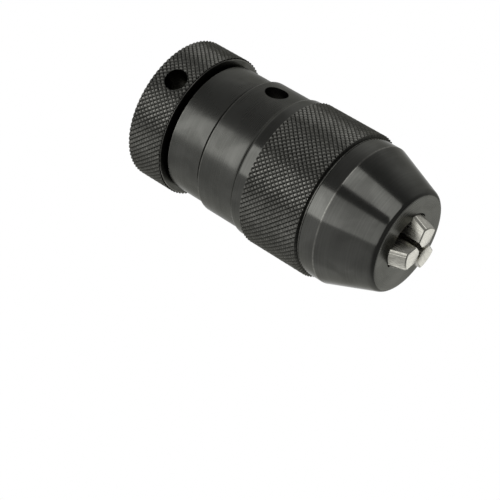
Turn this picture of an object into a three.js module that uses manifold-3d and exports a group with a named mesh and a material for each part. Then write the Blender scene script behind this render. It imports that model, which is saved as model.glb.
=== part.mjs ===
// A keyless drill chuck for shanks up to 16 mm, with a short-taper socket in its back.
//
// Turning the sleeve against the hub runs a jaw nut along the hub's left-hand screw. The jaws hang in
// T-slots in the jaw nut and slide in the slots of the jaw guide, under the cone inside the hood, so
// they move forward and in together. A thrust ball bearing carries the grip force from the hub's
// flange to the bearing cup, which screws into the back of the sleeve.
//
// Millimetres. +Z runs along the spindle axis from the back face to the jaws, the origin is the centre
// of the back face, and +X passes through the spanner hole in the knurled ring.
import * as THREE from "three";
import { mergeVertices } from "three/addons/utils/BufferGeometryUtils.js";
import Module from "manifold-3d";

const wasm = await Module();
wasm.setup();

// ---------- Driving dimensions ----------

const roundSegments = 48; // round the outer shells
const innerSegments = 36; // round the pieces inside
const holeSegments = 24; // round a spanner hole
const pinSegments = 16; // round a dowel or a cage pocket
const cornerSteps = 5; // in the round between the hood's cone and its face
const backSteps = 6; // across the back of a jaw
const cutPast = 1; // how far a cutter runs past what it cuts
const mergeWithin = 1e-4;
const seatGap = 0.15; // between pieces that are pressed or clamped together
const seamGap = 0.2; // between the outer shells where they meet end to end
const runningGap = 0.3; // between pieces that turn or slide on each other

// Outer shells, from back to front
const gripRadius = 25; // crest of the sleeve's knurled band
const ringLength = 13.8;
const ringStep = 0.5; // how far the ring lies below gripRadius
const ringGap = 1.1; // open groove between ring and bearing cup
const cupLength = 14.2;
const cupStep = 2.7;
const plainLength = 14.1; // smooth part of the sleeve, behind the collar
const plainStep = 1.6;
const collarLength = 5.3; // raised collar behind the knurled band
const collarStep = 0.85;
const knurlLength = 22.7;
const bandLength = 5.6; // smooth band of the hood
const bandStep = 1.1;
const coneLength = 17.8;
const coneAngle = THREE.MathUtils.degToRad(20.5); // half angle of the cone, outside and inside
const noseRound = 2.3;
const edgeChamfer = 0.6;
const ringChamfer = 0.6;
const cupFrontChamfer = 0.9; // shows as a dark line behind the sleeve

// Spanner holes
const spannerHoleRadius = 3.8;
const ringHoleZ = 7.6;
const sleeveHoleZ = 35.9;
const sleeveHoleAngle = THREE.MathUtils.degToRad(-39.6);
const sleeveHoleDepth = 3.4;
const sleeveHoleWall = 0.9; // metal in front of the blind hole

// Hub
const socketRadius = 8.89; // large end of the short taper
const socketTaper = 1 / 20.02; // change of diameter along the length
const socketDepth = 33;
const socketWall = 3.5; // solid metal between the socket and the screw
const socketChamfer = 0.4;
const seatRadius = 14; // where the knurled ring is pressed on
const neckRadius = 13;
const flangeThickness = 4;
const bossRadius = 12;
const dowelRadius = 1.5;
const dowelLength = 8;
const dowelInset = 0.5;
const dowelCount = 2;

// Left-hand screw between hub and jaw nut
const screwPitch = 4;
const screwRadius = 7;
const screwDepth = 2;
const screwCrest = 1.46; // width of the thread's crest
const screwFlank = 0.54; // how much wider each side of the thread is at its root
const screwSteps = 16; // per turn
const screwSideGap = 0.25;
const screwChamfer = 1;

// Thrust bearing
const cupWeb = 3;
const cupWall = 1.8;
const cupThread = 2.1; // length screwed into the sleeve
const sleeveRearWall = 1.9;
const raceThickness = 1.8;
const ballRadius = 2.25;
const ballCount = 16;
const ballSink = 0.4; // how deep a ball sits in a race's groove
const ballPlay = 0.1;
const cageThickness = 2;
const springThickness = 0.5;
const springWave = 0.45;
const springWaves = 4;
const springWidth = 2.8;

// Inside of the sleeve
const shoulderThickness = 6.5;
const shoulderWidth = 3.8;
const sleeveWall = 4.2; // from gripRadius in to the bore that the jaw nut travels in
const knurlWall = 2.5; // from gripRadius in to the hood's thread
const spigotLength = 12.4; // how far the hood screws into the sleeve
const spigotWall = 1.4;
const spigotLead = 1; // least straight bore behind the hood's inner cone

// Jaw nut
const nutThickness = 9;
const nutWeb = 2.4;
const nutLip = 3.4;
const slotNeckWidth = 5.4;
const slotHeadWidth = 9.2;

// Jaws
const jawCount = 3;
const jawAngle = THREE.MathUtils.degToRad(66); // of the first jaw, from +X
const jawWidth = 6.8;
const jawFrontRadius = 7.8; // back of the jaw, at its front end
const jawProtrusion = 5.2; // beyond the hood's face, as drawn
const jawTipHalfWidth = 0.65;
const jawGripLength = 17.2;
const jawTailThickness = 4.6;
const jawRoom = 0.5; // between an open jaw and the sleeve's bore
const jawChamfer = 0.4;
const tailPlay = 0.2; // between a jaw's tail and the T-slot
const gripRadiusDrawn = 1.3; // half the shank size that the jaws are drawn at
const gripRadiusClosed = 0.5;
const gripRadiusOpen = 8;

// Hood's mouth and jaw guide
const mouthRadius = 8.4; // between the jaws
const mouthLip = 3;
const mouthChamfer = 0.3;
const guideBore = 8.6;
const guideFlangeThickness = 1.7;
const guideStrap = 1.3; // least room outside the jaw nut for the guide
const guideStrapGap = 0.4; // round the jaw nut
const guideSlotGap = 0.2; // each side of a jaw

// ---------- Places worked out from them ----------

const coneSlope = Math.tan(coneAngle);
const openTravel = (gripRadiusOpen - gripRadiusDrawn) / coneSlope; // jaw nut, back from where it is drawn
const closeTravel = (gripRadiusDrawn - gripRadiusClosed) / coneSlope; // and forward

const ringRadius = gripRadius - ringStep;
const cupRadius = gripRadius - cupStep;
const plainRadius = gripRadius - plainStep;
const collarRadius = gripRadius - collarStep;
const bandRadius = gripRadius - bandStep;

const cupStart = ringLength + ringGap;
const cupEnd = cupStart + cupLength;
const sleeveStart = cupEnd + seamGap;
const plainEnd = sleeveStart + plainLength;
const knurlStart = plainEnd + collarLength;
const sleeveEnd = knurlStart + knurlLength;
const hoodStart = sleeveEnd + seamGap;
const bandEnd = hoodStart + bandLength;
const noseZ = bandEnd + coneLength;

const cupThreadRadius = plainRadius - sleeveRearWall - seatGap;
const cupThreadEnd = cupEnd + cupThread;
const cupBore = cupThreadRadius - cupWall;
const rearRaceZ = cupStart + cupWeb + seatGap;
const ballZ = rearRaceZ + raceThickness + ballRadius + ballPlay - ballSink;
const frontRaceZ = 2 * ballZ - rearRaceZ - raceThickness;
const flangeZ = frontRaceZ + raceThickness + seatGap;
const flangeEnd = flangeZ + flangeThickness;
const flangeRadius = cupBore - runningGap;
const ballCircle = (neckRadius + cupBore) / 2;
const shoulderZ = Math.max(cupThreadEnd, flangeEnd + 2 * springWave + springThickness) + runningGap;
const shoulderEnd = shoulderZ + shoulderThickness;
const shoulderRadius = gripRadius - sleeveWall - shoulderWidth;

const jawFront = noseZ + jawProtrusion;
const hoodBore = jawFrontRadius + jawProtrusion * coneSlope + runningGap; // at the face
const hoodConeAt = (z) => hoodBore + (noseZ - z) * coneSlope;

const sleeveBore = gripRadius - sleeveWall;
const hoodThreadRadius = gripRadius - knurlWall - runningGap;
const spigotStart = sleeveEnd - spigotLength;
const spigotBore = Math.min(hoodThreadRadius - spigotWall, hoodConeAt(spigotStart + spigotLead));
const hoodConeStart = noseZ - (spigotBore - hoodBore) / coneSlope;
const guideSeatZ = spigotStart - seatGap - guideFlangeThickness - seatGap;

const nutBackOpen = Math.max(shoulderEnd, socketDepth + socketWall) + runningGap;
const nutBack = nutBackOpen + openTravel;
const nutFront = nutBack + nutThickness;
const shellRoom = Math.min(sleeveBore, spigotBore, hoodConeAt(nutFront + closeTravel) + guideStrap);
const nutRadius = shellRoom - guideStrap - jawRoom - guideStrapGap;
const screwStart = Math.max(flangeEnd, socketDepth + socketWall);
const screwEnd = nutFront;

const jawBack = nutFront + closeTravel / 2;
const jawTailRadius = Math.min(sleeveBore, spigotBore) - jawRoom - (gripRadiusOpen - gripRadiusDrawn);
const guideStart = nutFront + closeTravel + 2 * runningGap;
const lipZ = noseZ - mouthLip;
const guideEnd = lipZ - seatGap;

// ---------- Finishes ----------

function finish(color, roughness, metalness) {
  return new THREE.MeshStandardMaterial({ color, roughness, metalness });
}

const blackOxide = finish(0x2c2d2b, 0.42, 0.75);
const groundSteel = finish(0xb9b6ac, 0.3, 1);
const darkSteel = finish(0x55554f, 0.4, 0.9);
const ballSteel = finish(0xd8d8d8, 0.1, 1);
const springSteel = finish(0x6f6c66, 0.35, 1);
const brass = finish(0xc8a04a, 0.35, 1);

// ---------- Building blocks ----------

// A closed geometry as a manifold-3d solid.
function solidOf(geometry) {
  const bare = geometry.clone();
  bare.deleteAttribute("normal");
  bare.deleteAttribute("uv");
  const merged = mergeVertices(bare, mergeWithin);
  return new wasm.Manifold(
    new wasm.Mesh({
      numProp: 3,
      vertProperties: new Float32Array(merged.attributes.position.array),
      triVerts: new Uint32Array(merged.index.array),
    }),
  );
}

function geometryOf(solid) {
  const { vertProperties, triVerts } = solid.getMesh();
  const geometry = new THREE.BufferGeometry();
  geometry.setAttribute("position", new THREE.BufferAttribute(new Float32Array(vertProperties), 3));
  geometry.setIndex(new THREE.BufferAttribute(new Uint32Array(triVerts), 1));
  const flat = geometry.toNonIndexed();
  flat.computeVertexNormals();
  return flat;
}

// A solid of revolution about Z. The outline is a list of [radius, z] that runs with the metal on its left.
function turned(outline, segments = roundSegments) {
  const points = outline.map(([radius, z]) => new THREE.Vector2(radius, z));
  const closesOnAxis = points[0].x === 0 && points[points.length - 1].x === 0;
  if (!closesOnAxis) {
    points.push(points[0].clone());
  }
  return new THREE.LatheGeometry(points, segments).rotateX(Math.PI / 2);
}

function flatRing(innerRadius, outerRadius, zFrom, zTo) {
  const outline = [
    [innerRadius, zFrom],
    [outerRadius, zFrom],
    [outerRadius, zTo],
    [innerRadius, zTo],
  ];
  return turned(outline, innerSegments);
}

function rod(radius, zFrom, zTo, segments = innerSegments) {
  return new THREE.CylinderGeometry(radius, radius, zTo - zFrom, segments)
    .rotateX(Math.PI / 2)
    .translate(0, 0, (zFrom + zTo) / 2);
}

// A cylinder that points out from the axis, for a radial hole.
function radialRod(radius, fromRadius, toRadius, z, angle) {
  return new THREE.CylinderGeometry(radius, radius, toRadius - fromRadius, holeSegments)
    .rotateZ(-Math.PI / 2)
    .translate((fromRadius + toRadius) / 2, 0, z)
    .rotateZ(angle);
}

// A block that lies along +X at angle 0, from one radius to another.
function radialBlock(fromRadius, toRadius, width, zFrom, zTo, angle) {
  return new THREE.BoxGeometry(toRadius - fromRadius, width, zTo - zFrom)
    .translate((fromRadius + toRadius) / 2, 0, (zFrom + zTo) / 2)
    .rotateZ(angle);
}

function evenAngles(count, first = 0) {
  return Array.from({ length: count }, (_, i) => first + (2 * Math.PI * i) / count);
}

// Joins rings of points, each with the same count, into one closed body with flat ends.
function skinned(rings) {
  const count = rings[0].length;
  const positions = rings.flat().flatMap((p) => [p.x, p.y, p.z]);
  const index = [];
  for (let r = 0; r + 1 < rings.length; r++) {
    for (let i = 0; i < count; i++) {
      const a = r * count + i;
      const b = r * count + ((i + 1) % count);
      index.push(a, b, b + count, a, b + count, a + count);
    }
  }
  const last = (rings.length - 1) * count;
  for (let i = 1; i + 1 < count; i++) {
    index.push(0, i + 1, i, last, last + i, last + i + 1);
  }
  const geometry = new THREE.BufferGeometry();
  geometry.setAttribute("position", new THREE.BufferAttribute(new Float32Array(positions), 3));
  geometry.setIndex(index);
  return geometry;
}

// A left-hand screw from one z to another. Its thread passes the same angle at the same z whatever
// its ends are, so a nut cut with a wider one meshes with it.
function leftHandScrew(crestRadius, rootRadius, crestWidth, zFrom, zTo, endChamfer = 0) {
  const embed = 0.4;
  const rootWidth = crestWidth + (2 * screwFlank * (crestRadius - rootRadius + embed)) / screwDepth;
  const firstStep = Math.floor((zFrom / screwPitch - 1) * screwSteps);
  const lastStep = Math.ceil((zTo / screwPitch + 1) * screwSteps);
  const rings = [];
  for (let step = firstStep; step <= lastStep; step++) {
    const turns = step / screwSteps;
    const angle = -2 * Math.PI * turns;
    const corner = (radius, dz) =>
      new THREE.Vector3(radius * Math.cos(angle), radius * Math.sin(angle), turns * screwPitch + dz);
    rings.push([
      corner(rootRadius - embed, rootWidth / 2),
      corner(rootRadius - embed, -rootWidth / 2),
      corner(crestRadius, -crestWidth / 2),
      corner(crestRadius, crestWidth / 2),
    ]);
  }
  const core = rod(rootRadius, zFrom - cutPast, zTo + cutPast, screwSteps).rotateZ(Math.PI / screwSteps);
  const ends = turned(
    [
      [0, zFrom],
      [crestRadius + cutPast, zFrom],
      [crestRadius + cutPast, zTo - endChamfer - cutPast],
      [crestRadius - endChamfer, zTo],
      [0, zTo],
    ],
    innerSegments,
  );
  return solidOf(skinned(rings)).add(solidOf(core)).intersect(solidOf(ends));
}

function subtractAll(geometry, cutters) {
  return cutters.reduce((solid, cutter) => solid.subtract(solidOf(cutter)), solidOf(geometry));
}

const object = new THREE.Group();
object.name = "drill_chuck";

function addPiece(name, geometry, material) {
  const mesh = new THREE.Mesh(geometry, material);
  mesh.name = name;
  object.add(mesh);
  return mesh;
}

// ---------- Hub and knurled ring ----------

const dowelAngles = evenAngles(dowelCount, Math.PI / 2);
const dowelHoles = () =>
  dowelAngles.map((angle) =>
    rod(dowelRadius + seatGap, -cutPast, dowelInset + dowelLength + seatGap, pinSegments).translate(
      seatRadius * Math.cos(angle),
      seatRadius * Math.sin(angle),
      0,
    ),
  );

function hub() {
  const socketEndRadius = socketRadius - (socketDepth * socketTaper) / 2;
  const outline = [
    [0, socketDepth],
    [socketEndRadius, socketDepth],
    [socketRadius, socketChamfer],
    [socketRadius + socketChamfer, 0],
    [seatRadius - edgeChamfer, 0],
    [seatRadius, edgeChamfer],
    [seatRadius, ringLength],
    [neckRadius, ringLength],
    [neckRadius, flangeZ],
    [flangeRadius, flangeZ],
    [flangeRadius, flangeEnd],
    [bossRadius, flangeEnd],
    [bossRadius, screwStart],
    [0, screwStart],
  ];
  const body = subtractAll(turned(outline, innerSegments), dowelHoles());
  const screwFoot = screwStart - socketWall / 2;
  const screwRoot = screwRadius - screwDepth;
  const screw = leftHandScrew(screwRadius, screwRoot, screwCrest, screwFoot, screwEnd, screwChamfer);
  return geometryOf(body.add(screw));
}

function knurledRing() {
  const bore = seatRadius + seatGap;
  const body = turned([
    [bore, 0],
    [ringRadius - ringChamfer, 0],
    [ringRadius, ringChamfer],
    [ringRadius, ringLength - ringChamfer],
    [ringRadius - ringChamfer, ringLength],
    [bore, ringLength],
  ]);
  const spannerHole = radialRod(spannerHoleRadius, bore - cutPast, ringRadius + cutPast, ringHoleZ, 0);
  return geometryOf(subtractAll(body, [spannerHole, ...dowelHoles()]));
}

// ---------- Thrust bearing ----------

function bearingCup() {
  return turned([
    [neckRadius + runningGap, cupStart],
    [cupRadius - edgeChamfer, cupStart],
    [cupRadius, cupStart + edgeChamfer],
    [cupRadius, cupEnd - cupFrontChamfer],
    [cupRadius - cupFrontChamfer, cupEnd],
    [cupThreadRadius, cupEnd],
    [cupThreadRadius, cupThreadEnd],
    [cupBore, cupThreadEnd],
    [cupBore, cupStart + cupWeb],
    [neckRadius + runningGap, cupStart + cupWeb],
  ]);
}

// A race washer with its ball groove on the side that faces the balls.
function race(backZ, facing) {
  const faceZ = backZ + facing * raceThickness;
  const grooveHalf = Math.sqrt(ballRadius ** 2 - (ballRadius - ballSink) ** 2);
  const outline = [
    [neckRadius + seatGap, backZ],
    [cupBore - seatGap, backZ],
    [cupBore - seatGap, faceZ],
    [ballCircle + grooveHalf, faceZ],
    [ballCircle + grooveHalf / 2, faceZ - facing * ballSink],
    [ballCircle - grooveHalf / 2, faceZ - facing * ballSink],
    [ballCircle - grooveHalf, faceZ],
    [neckRadius + seatGap, faceZ],
  ];
  return turned(facing > 0 ? outline : outline.reverse(), innerSegments);
}

function ballCage() {
  const half = cageThickness / 2;
  const body = flatRing(neckRadius + runningGap, cupBore - runningGap, ballZ - half, ballZ + half);
  const pockets = evenAngles(ballCount).map((angle) =>
    rod(ballRadius + ballPlay, ballZ - cageThickness, ballZ + cageThickness, pinSegments).translate(
      ballCircle * Math.cos(angle),
      ballCircle * Math.sin(angle),
      0,
    ),
  );
  return geometryOf(subtractAll(body, pockets));
}

function ball(angle) {
  return new THREE.IcosahedronGeometry(ballRadius, 1).translate(
    ballCircle * Math.cos(angle),
    ballCircle * Math.sin(angle),
    ballZ,
  );
}

// A ring of flat wire that waves along Z, between the hub's flange and the sleeve's shoulder.
function waveSpring() {
  const outer = flangeRadius - seatGap;
  const inner = outer - springWidth;
  const middle = (flangeEnd + shoulderZ) / 2;
  const outline = [
    [inner, -springThickness / 2],
    [outer, -springThickness / 2],
    [outer, springThickness / 2],
    [inner, springThickness / 2],
  ];
  const positions = [];
  const index = [];
  evenAngles(roundSegments).forEach((angle, step) => {
    const wave = springWave * Math.cos(springWaves * angle);
    const next = (step + 1) % roundSegments;
    outline.forEach(([radius, dz], i) => {
      positions.push(radius * Math.cos(angle), radius * Math.sin(angle), middle + wave + dz);
      const j = (i + 1) % outline.length;
      const [a, b] = [step * outline.length + i, step * outline.length + j];
      const [c, d] = [next * outline.length + i, next * outline.length + j];
      index.push(a, d, b, a, c, d);
    });
  });
  const geometry = new THREE.BufferGeometry();
  geometry.setAttribute("position", new THREE.BufferAttribute(new Float32Array(positions), 3));
  geometry.setIndex(index);
  return geometry;
}

// ---------- Sleeve, hood and jaw guide ----------

function sleeve() {
  const rearBore = cupThreadRadius + seatGap;
  const frontBore = hoodThreadRadius + runningGap;
  const padRadius = nutRadius + runningGap;
  const padEnd = Math.max(shoulderEnd, sleeveHoleZ + spannerHoleRadius) + sleeveHoleWall;
  const body = turned([
    [rearBore, sleeveStart],
    [plainRadius - edgeChamfer, sleeveStart],
    [plainRadius, sleeveStart + edgeChamfer],
    [plainRadius, plainEnd],
    [collarRadius, plainEnd + collarRadius - plainRadius],
    [collarRadius, knurlStart - edgeChamfer],
    [gripRadius, knurlStart],
    [gripRadius, sleeveEnd - edgeChamfer],
    [gripRadius - edgeChamfer, sleeveEnd],
    [frontBore, sleeveEnd],
    [frontBore, guideSeatZ],
    [sleeveBore, guideSeatZ],
    [sleeveBore, padEnd],
    [padRadius, padEnd],
    [padRadius, shoulderEnd],
    [shoulderRadius, shoulderEnd],
    [shoulderRadius, shoulderZ],
    [rearBore, shoulderZ],
  ]);
  const holeBottom = plainRadius - sleeveHoleDepth;
  const spannerHole = radialRod(
    spannerHoleRadius,
    holeBottom,
    plainRadius + cutPast,
    sleeveHoleZ,
    sleeveHoleAngle,
  );
  return geometryOf(subtractAll(body, [spannerHole]));
}

// The rounded corner between the hood's cone and its face, as [radius, z] points.
function noseCorner() {
  const centreZ = noseZ - noseRound;
  const centreRadius = bandRadius - coneSlope * (centreZ - bandEnd) - noseRound / Math.cos(coneAngle);
  return Array.from({ length: cornerSteps + 1 }, (_, i) => {
    const turn = coneAngle + ((Math.PI / 2 - coneAngle) * i) / cornerSteps;
    return [centreRadius + noseRound * Math.cos(turn), centreZ + noseRound * Math.sin(turn)];
  });
}

// The way a jaw takes through the hood's lip, with room all round.
function jawPath(angle) {
  const half = jawWidth / 2 + runningGap;
  const backAt = (z) => jawFrontRadius + (jawFront - z) * coneSlope + runningGap;
  const sections = [lipZ - cutPast, noseZ + cutPast].map((z) => jawSection(0, backAt(z), half, z));
  return skinned(sections).rotateZ(angle);
}

function hood() {
  const lipOuter = hoodBore + mouthLip * coneSlope;
  const body = turned([
    [spigotBore, spigotStart],
    [hoodThreadRadius, spigotStart],
    [hoodThreadRadius, hoodStart],
    [bandRadius - edgeChamfer, hoodStart],
    [bandRadius, hoodStart + edgeChamfer],
    [bandRadius, bandEnd],
    ...noseCorner(),
    [mouthRadius + mouthChamfer, noseZ],
    [mouthRadius, noseZ - mouthChamfer],
    [mouthRadius, lipZ],
    [lipOuter, lipZ],
    [spigotBore, hoodConeStart],
  ]);
  return geometryOf(subtractAll(body, evenAngles(jawCount, jawAngle).map(jawPath)));
}

// Three wedge-shaped legs that fill the cone between the jaws, on a flange clamped behind the hood.
function jawGuide() {
  const strapOuter = spigotBore - runningGap;
  const strapInner = nutRadius + guideStrapGap;
  const flangeStart = guideSeatZ + seatGap;
  const coneAt = (z) => hoodBore + (noseZ - z) * coneSlope - runningGap;
  const body = turned([
    [strapInner, flangeStart],
    [hoodThreadRadius, flangeStart],
    [hoodThreadRadius, flangeStart + guideFlangeThickness],
    [strapOuter, flangeStart + guideFlangeThickness],
    [strapOuter, hoodConeStart],
    [coneAt(guideEnd), guideEnd],
    [guideBore, guideEnd],
    [guideBore, guideStart],
    [strapInner, guideStart],
  ]);
  const slotEnd = jawTailRadius + gripRadiusOpen - gripRadiusDrawn + runningGap;
  const slots = evenAngles(jawCount, jawAngle).map((angle) =>
    radialBlock(0, slotEnd, jawWidth + 2 * guideSlotGap, flangeStart - cutPast, noseZ, angle),
  );
  return geometryOf(subtractAll(body, slots));
}

// ---------- Jaw nut and jaws ----------

const tailInner = jawTailRadius - jawTailThickness;
const slotInner = tailInner - (gripRadiusDrawn - gripRadiusClosed) - tailPlay;

function jawNut() {
  const cutRadius = nutRadius + cutPast;
  const outline = [
    [0, nutBack],
    [nutRadius - edgeChamfer, nutBack],
    [nutRadius, nutBack + edgeChamfer],
    [nutRadius, nutFront - edgeChamfer],
    [nutRadius - edgeChamfer, nutFront],
    [0, nutFront],
  ];
  const cuts = evenAngles(jawCount, jawAngle).flatMap((angle) => [
    radialBlock(slotInner, cutRadius, slotNeckWidth, nutBack + nutWeb, nutFront + cutPast, angle),
    radialBlock(slotInner, cutRadius, slotHeadWidth, nutBack + nutWeb, nutFront - nutLip, angle),
  ]);
  const tap = leftHandScrew(
    screwRadius + runningGap,
    screwRadius - screwDepth + runningGap,
    screwCrest + 2 * screwSideGap,
    nutBack - cutPast,
    nutFront + cutPast,
  );
  return geometryOf(subtractAll(turned(outline, innerSegments), cuts).subtract(tap));
}

// A jaw's cross-section at one z: a 120 degree wedge inside, a round back outside. +X points outwards.
function jawSection(innerRadius, outerRadius, halfWidth, z) {
  const backRound = jawFrontRadius;
  const wedgeRise = (halfWidth - jawTipHalfWidth) / Math.tan(Math.PI / 3);
  const halfSweep = Math.asin(halfWidth / backRound);
  const back = Array.from({ length: backSteps + 1 }, (_, i) => {
    const turn = halfSweep * ((2 * i) / backSteps - 1);
    return [outerRadius - backRound + backRound * Math.cos(turn), backRound * Math.sin(turn)];
  });
  return [
    [innerRadius, -jawTipHalfWidth],
    [innerRadius + wedgeRise, -halfWidth],
    ...back,
    [innerRadius + wedgeRise, halfWidth],
    [innerRadius, jawTipHalfWidth],
  ].map(([x, y]) => new THREE.Vector3(x, y, z));
}

function jaw(angle) {
  const half = jawWidth / 2;
  const gripStart = jawFront - jawGripLength;
  const backAt = (z) => Math.min(jawTailRadius, jawFrontRadius + (jawFront - z) * coneSlope);
  const bendZ = jawFront - (jawTailRadius - jawFrontRadius) / coneSlope;
  const innerAt = (z) => {
    const behindGrip = Math.max(0, (gripStart - z) / (gripStart - jawBack));
    return gripRadiusDrawn + (tailInner - gripRadiusDrawn) * behindGrip;
  };
  const stations = [jawBack, Math.min(gripStart, bendZ), Math.max(gripStart, bendZ), jawFront - jawChamfer];
  const rings = stations.map((z) => jawSection(innerAt(z), backAt(z), half, z));
  rings.push(jawSection(gripRadiusDrawn, backAt(jawFront) - jawChamfer, half - jawChamfer, jawFront));
  const neckWidth = slotNeckWidth - 2 * tailPlay;
  const headWidth = slotHeadWidth - 2 * tailPlay;
  const headBottom = nutBack + nutWeb + tailPlay;
  const headTop = nutFront - nutLip - tailPlay;
  const overlap = cutPast / 2;
  const neck = radialBlock(tailInner, jawTailRadius, neckWidth, headTop - overlap, jawBack + overlap, 0);
  const head = radialBlock(tailInner, jawTailRadius, headWidth, headBottom, headTop, 0);
  const body = solidOf(skinned(rings)).add(solidOf(neck)).add(solidOf(head));
  return geometryOf(body).rotateZ(angle);
}

// ---------- Assembly ----------

addPiece("hub", hub(), darkSteel);
addPiece("knurled_ring", knurledRing(), blackOxide);
dowelAngles.forEach((angle, i) => {
  const pin = addPiece(`ring_dowel_${i + 1}`, rod(dowelRadius, 0, dowelLength, pinSegments), groundSteel);
  pin.position.set(seatRadius * Math.cos(angle), seatRadius * Math.sin(angle), dowelInset);
});
addPiece("bearing_cup", bearingCup(), blackOxide);
addPiece("rear_race", race(rearRaceZ, 1), groundSteel);
addPiece("front_race", race(frontRaceZ + raceThickness, -1), groundSteel);
addPiece("ball_cage", ballCage(), brass);
evenAngles(ballCount).forEach((angle, i) => {
  addPiece(`bearing_ball_${String(i + 1).padStart(2, "0")}`, ball(angle), ballSteel);
});
addPiece("wave_spring", waveSpring(), springSteel);
addPiece("sleeve", sleeve(), blackOxide);
addPiece("hood", hood(), blackOxide);
addPiece("jaw_guide", jawGuide(), darkSteel);
addPiece("jaw_nut", jawNut(), darkSteel);
evenAngles(jawCount, jawAngle).forEach((angle, i) => {
  addPiece(`jaw_${i + 1}`, jaw(angle), groundSteel);
});

export default object;
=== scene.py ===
import math
import random

import bmesh
import bpy
from mathutils import Matrix, Vector


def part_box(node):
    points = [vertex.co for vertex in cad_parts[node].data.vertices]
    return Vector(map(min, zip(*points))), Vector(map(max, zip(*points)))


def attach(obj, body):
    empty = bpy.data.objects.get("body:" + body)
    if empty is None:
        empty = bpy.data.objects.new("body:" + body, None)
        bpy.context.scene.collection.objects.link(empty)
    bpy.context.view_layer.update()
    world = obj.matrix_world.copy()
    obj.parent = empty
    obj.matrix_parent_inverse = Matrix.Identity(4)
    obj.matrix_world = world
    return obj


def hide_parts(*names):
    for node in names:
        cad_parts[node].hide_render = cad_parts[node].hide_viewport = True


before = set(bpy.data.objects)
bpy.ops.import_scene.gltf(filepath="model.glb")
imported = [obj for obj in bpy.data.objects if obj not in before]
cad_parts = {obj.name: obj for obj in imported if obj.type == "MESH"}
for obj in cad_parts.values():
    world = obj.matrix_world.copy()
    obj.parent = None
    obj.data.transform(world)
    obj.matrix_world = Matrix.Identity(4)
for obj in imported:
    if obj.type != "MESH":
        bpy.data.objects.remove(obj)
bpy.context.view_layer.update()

mm = 0.001
fullTurn = 2 * math.pi
print("chuck: frame loaded")


# ---- shaping: outlines are in millimetres and run with the metal on their left

shaping = {
    "roundSteps": 180,
    "arcSteps": 4,
    "wearAndHighlightReach": 0.35,    # how far edge wear and the painted edge highlight fade past a rounded corner
    "wearAndHighlightBelow": 1,       # larger roundings get neither edge wear nor a painted edge highlight
    "sharpFrom": 32,      # degrees
    "cutterSteps": 64,
    "pinSteps": 48,
    "screwCoreSteps": 96,
    "softenFrom": 30,     # degrees
    "softenSteps": 2,
}


def boxOf(node):
    low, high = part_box(node)
    return low / mm, high / mm


def roundedOutline(corners):
    # takes (radius, z, rounding) and gives (radius, z, mask), with the mask 1 on outer corners, for edge
    # wear and a painted edge highlight
    points = []
    for index, (radius, z, rounding) in enumerate(corners):
        here = Vector((radius, z))
        toLast = Vector(corners[index - 1][:2]) - here
        toNext = Vector(corners[(index + 1) % len(corners)][:2]) - here
        if rounding == 0:
            points.append((radius, z, 0))
            continue
        halfAngle = toLast.angle(toNext) / 2
        reach = min(rounding / math.tan(halfAngle), 0.45 * toLast.length, 0.45 * toNext.length)
        inward = (toLast.normalized() + toNext.normalized()).normalized()
        centre = here + inward * (reach / math.cos(halfAngle))
        start = here + toLast.normalized() * reach
        end = here + toNext.normalized() * reach
        # small convex roundings are marked for worn bare metal and a painted highlight in one
        wearAndHighlight = 1 if toNext.cross(toLast) > 0 and rounding < shaping["wearAndHighlightBelow"] else 0
        fade = shaping["wearAndHighlightReach"]
        if toLast.length > 2 * (reach + fade):
            points.append((*(start + toLast.normalized() * fade), 0))
        sweep = (start - centre).angle(end - centre)
        for step in range(shaping["arcSteps"] + 1):
            share = step / shaping["arcSteps"]
            fromStart = math.sin((1 - share) * sweep) / math.sin(sweep)
            fromEnd = math.sin(share * sweep) / math.sin(sweep)
            spot = centre + (start - centre) * fromStart + (end - centre) * fromEnd
            points.append((spot.x, spot.y, wearAndHighlight))
        if toNext.length > 2 * (reach + fade):
            points.append((*(end + toNext.normalized() * fade), 0))
    return points


def meshPiece(name, points, faces, wearAndHighlight):
    mesh = bpy.data.meshes.new(name)
    mesh.from_pydata([(x * mm, y * mm, z * mm) for x, y, z in points], [], faces)
    # the point mask marks worn edges and knurl crests, and the painted edge highlight that goes with them
    mesh.attributes.new("wearAndHighlight", "FLOAT", "POINT").data.foreach_set("value", wearAndHighlight)
    piece = bpy.data.objects.new(name, mesh)
    bpy.context.scene.collection.objects.link(piece)
    facesOut(piece)
    return piece


def facesOut(piece):
    work = bmesh.new()
    work.from_mesh(piece.data)
    bmesh.ops.recalc_face_normals(work, faces=work.faces)
    work.to_mesh(piece.data)
    work.free()


def evenAngles(count, first=0):
    return [first + fullTurn * step / count for step in range(count)]


def spunRings(outline, angles, points, faces, wearAndHighlight, closed):
    # adds one ring of points for each outline point, or a single point where the outline meets the axis
    rings = []
    for radius, z, edge in outline:
        around = angles if radius > 1e-6 else angles[:1]
        rings.append([len(points) + step for step in range(len(around))])
        points += [(radius * math.cos(a), radius * math.sin(a), z) for a in around]
        wearAndHighlight += [edge] * len(around)
    pairs = list(zip(rings, rings[1:]))
    if closed:
        pairs.append((rings[-1], rings[0]))
    for ring, after in pairs:
        joinRings(ring, after, faces)
    return rings


def joinRings(ring, after, faces):
    count = max(len(ring), len(after))
    if len(ring) == 1 and len(after) == 1:
        return
    for step in range(count):
        more = (step + 1) % count
        corners = [ring[step % len(ring)], ring[more % len(ring)]]
        corners += [after[more % len(after)], after[step % len(after)]]
        faces.append(list(dict.fromkeys(corners)))


def spunPiece(name, corners, steps=None):
    points, faces, wearAndHighlight = [], [], []
    onAxis = corners[0][0] == 0 and corners[-1][0] == 0
    outline = roundedOutline(corners)
    spunRings(outline, evenAngles(steps or shaping["roundSteps"]), points, faces, wearAndHighlight, not onAxis)
    return meshPiece(name, points, faces, wearAndHighlight)


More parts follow.
